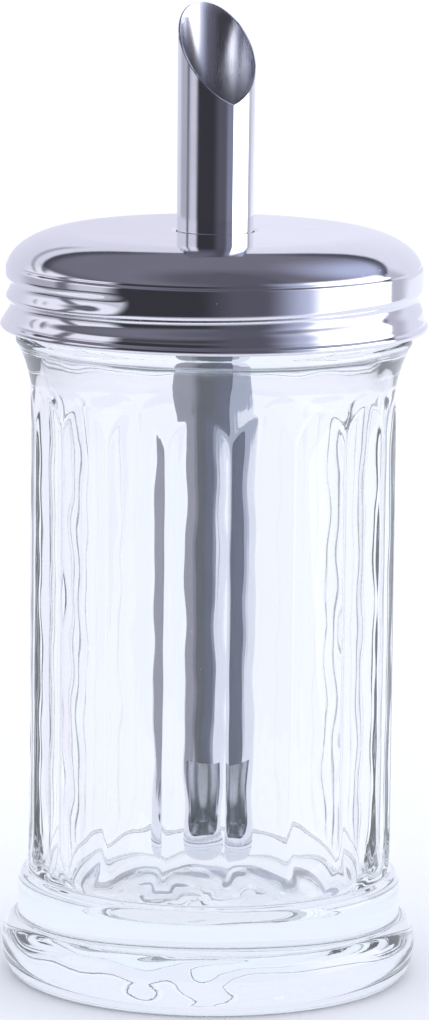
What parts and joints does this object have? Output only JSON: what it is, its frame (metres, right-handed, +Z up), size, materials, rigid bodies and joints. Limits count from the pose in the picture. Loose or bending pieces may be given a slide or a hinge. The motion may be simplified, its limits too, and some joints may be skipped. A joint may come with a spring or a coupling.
{
  "type": "sugar dispenser",
  "caption": "Fluted glass sugar jar with a steel screw lid and a pouring tube that measures a dose in a cup at its lower end.",
  "frame": {"origin": "centre of the jar's base, on the surface it stands on", "axes": "+Z up along the jar and the tube; -Y is the side that the tall slanted mouth opens towards"},
  "size_m": [0.075, 0.075, 0.1721],
  "materials": {
    "glass": "clear pressed glass with a faint green tint",
    "lid_steel": "polished stamped steel",
    "tube_steel": "polished rolled steel",
    "seal": "matt white seal"
  },
  "bodies": {
    "jar": {"glass_jar": "glass"},
    "gasket": {"lid_gasket": "seal"},
    "collar": {"tube_collar": "tube_steel"},
    "lid": {"screw_lid": "lid_steel", "pouring_tube": "tube_steel", "dosing_cup": "tube_steel"}
  },
  "joints": [
    {"name": "lid_lift", "type": "slide", "parent": "jar", "child": "gasket", "axis": [0, 0, 1], "range_m": [0, 0.125]},
    {"name": "lid_rise", "type": "slide", "parent": "gasket", "child": "collar", "axis": [0, 0, 1], "range_m": [0, 0.0043]},
    {"name": "lid_turn", "type": "hinge", "parent": "collar", "child": "lid", "pos_m": [0, 0, 0.12], "axis": [0, 0, 1], "range_deg": [0, 420]}
  ],
  "couplings": [
    {"joint": "lid_rise", "follows": "lid_turn", "m_per_rad": 0.00057296}
  ]
}
